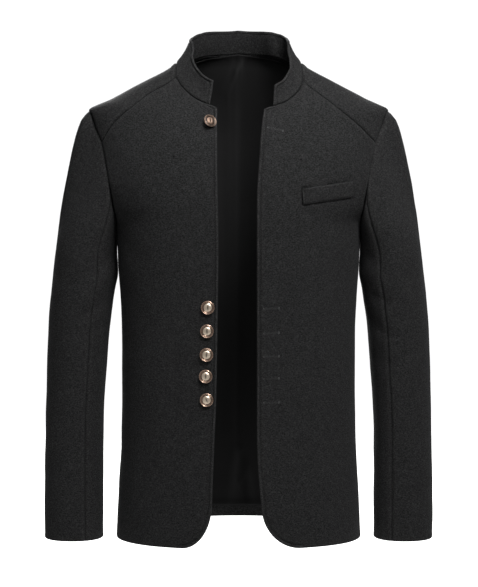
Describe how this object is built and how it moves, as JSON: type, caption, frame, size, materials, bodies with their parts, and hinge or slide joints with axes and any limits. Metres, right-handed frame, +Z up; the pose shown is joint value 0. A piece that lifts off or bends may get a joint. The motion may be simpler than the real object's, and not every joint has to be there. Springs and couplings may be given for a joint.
{
  "type": "mao jacket",
  "caption": "Stand-collar felted wool jacket, filled out as if worn and open down the front, with shank buttons and a chest welt pocket.",
  "frame": {"origin": "middle of the neck opening, level with the high points of the shoulders, where the jacket rests on its wearer", "axes": "+Z up towards the collar, +X towards the wearer's left, -Y towards the front"},
  "size_m": [0.582, 0.2539, 0.7622],
  "materials": {
    "wool": "felted, matt, with a short nap",
    "satin": "smooth lining with a soft sheen",
    "rose_gold": "polished rose gold plate"
  },
  "bodies": {
    "root": {"front_right": "wool", "front_left": "wool", "back": "wool", "sleeve_top_right": "wool", "sleeve_top_left": "wool", "sleeve_under_right": "wool", "sleeve_under_left": "wool", "collar": "wool", "chest_welt": "wool", "back_lining": "satin", "button_1": "rose_gold", "button_2": "rose_gold", "button_3": "rose_gold", "button_4": "rose_gold", "button_5": "rose_gold", "button_6": "rose_gold"}
  },
  "joints": []
}
